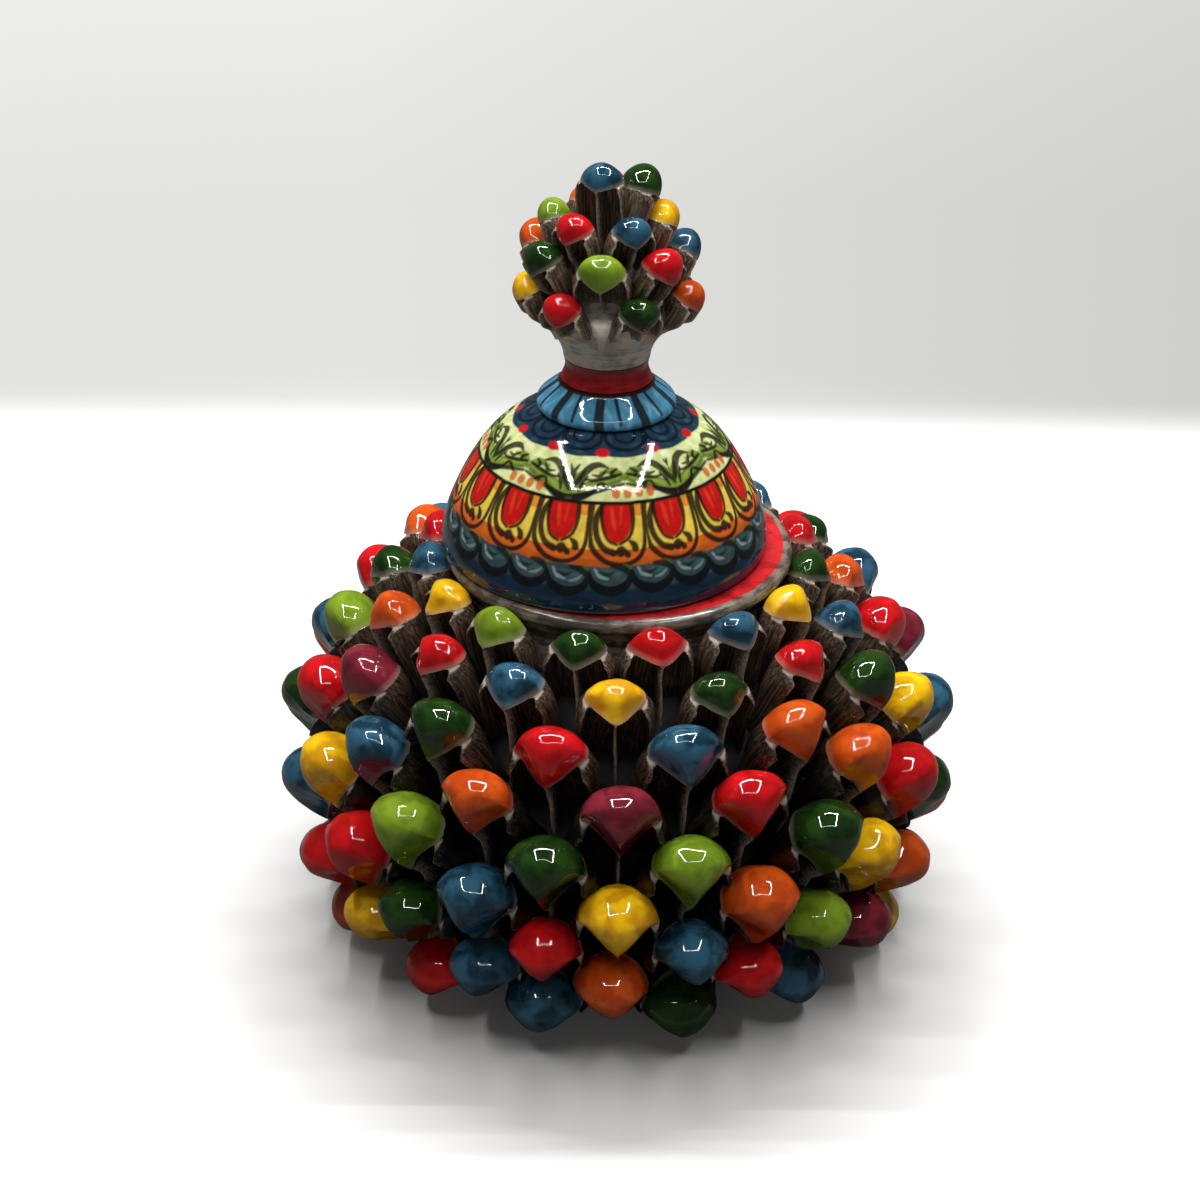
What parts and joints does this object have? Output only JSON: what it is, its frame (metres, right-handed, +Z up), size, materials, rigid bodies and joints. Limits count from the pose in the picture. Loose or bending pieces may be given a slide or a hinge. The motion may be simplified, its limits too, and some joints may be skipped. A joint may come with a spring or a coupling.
{
  "type": "lidded jar",
  "caption": "Glazed ceramic sweet jar shaped like a pine cone, with rows of carved scales, and a domed lid with a pine-cone knob that lifts off.",
  "frame": {"origin": "middle of the flat face that the jar stands on", "axes": "+Z up along the jar's axis, front towards -Y, +X to the right seen from the front"},
  "size_m": [0.2084, 0.2083, 0.2405],
  "materials": {
    "washed_clay": "brown-black manganese wash under clear gloss",
    "carved_scales": "brown-black washed stems and caps in red, orange, yellow, green, blue and burgundy gloss glaze",
    "grey_glaze": "clear gloss over grey-brown",
    "red_glaze": "red gloss",
    "painted_glaze": "hand-painted bands of eggs, leaves and petals under clear gloss",
    "blue_glaze": "sky-blue gloss with black strokes"
  },
  "bodies": {
    "jar": {"foot": "red_glaze", "pot": "washed_clay", "mouth_rim": "grey_glaze", "scale_row_1": "carved_scales", "scale_row_2": "carved_scales", "scale_row_3": "carved_scales", "scale_row_4": "carved_scales", "scale_row_5": "carved_scales", "scale_row_6": "carved_scales", "scale_row_7": "carved_scales", "scale_row_8": "carved_scales", "scale_row_9": "carved_scales"},
    "lid": {"lid_dome": "painted_glaze", "lid_flange": "grey_glaze", "lid_collar": "blue_glaze", "lid_neck": "red_glaze", "finial_core": "washed_clay", "finial_row_1": "carved_scales", "finial_row_2": "carved_scales", "finial_row_3": "carved_scales", "finial_top": "carved_scales"}
  },
  "joints": [
    {"name": "lid_lift", "type": "slide", "parent": "jar", "child": "lid", "axis": [0, 0, 1], "range_m": [0, 0.12]}
  ]
}
